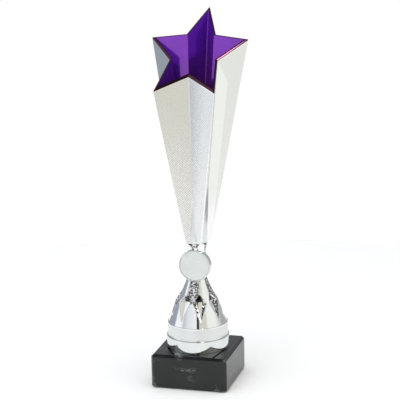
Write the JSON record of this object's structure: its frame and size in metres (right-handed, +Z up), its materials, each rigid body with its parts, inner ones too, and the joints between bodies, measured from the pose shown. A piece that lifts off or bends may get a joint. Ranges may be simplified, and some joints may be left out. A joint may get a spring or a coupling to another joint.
{
  "type": "column trophy",
  "caption": "Column trophy with a tall silver star cup, purple inside, on a chromed bell-shaped foot with a blank emblem disc and a black marble block.",
  "frame": {"origin": "centre of the face that the trophy stands on", "axes": "+Z up the column; the emblem disc faces -Y; +X is to the right seen from the front"},
  "size_m": [0.083, 0.0881, 0.3097],
  "materials": {
    "pad_foam": "matt foam sheet",
    "black_marble": "polished, faint pale veins",
    "zinc_steel": "zinc plated",
    "metallised_foot": "vacuum metallised, bright silver",
    "metallised_band": "vacuum metallised, fine diamond knurl",
    "metallised_bell": "vacuum metallised, bright silver",
    "metallised_neck": "vacuum metallised, bright silver",
    "metallised_holder": "vacuum metallised, bright silver",
    "adhesive_pad": "white foam tape",
    "emblem_blank": "satin silver, blank",
    "silver_cup": "satin silver with a fine cross-hatch",
    "purple_liner": "metallic purple"
  },
  "bodies": {
    "root": {"base_pad": "pad_foam", "marble_base": "black_marble", "base_washer": "zinc_steel", "spring_washer": "zinc_steel", "base_nut": "zinc_steel", "tie_rod": "zinc_steel", "cup_washer": "zinc_steel", "cup_nut": "zinc_steel", "foot_ring": "metallised_foot", "knurled_band": "metallised_band", "lattice_bell": "metallised_bell", "neck_collar": "metallised_neck", "emblem_holder": "metallised_holder", "emblem_tape": "adhesive_pad", "emblem_disc": "emblem_blank", "cup_shell": "silver_cup", "cup_liner": "purple_liner"}
  },
  "joints": []
}
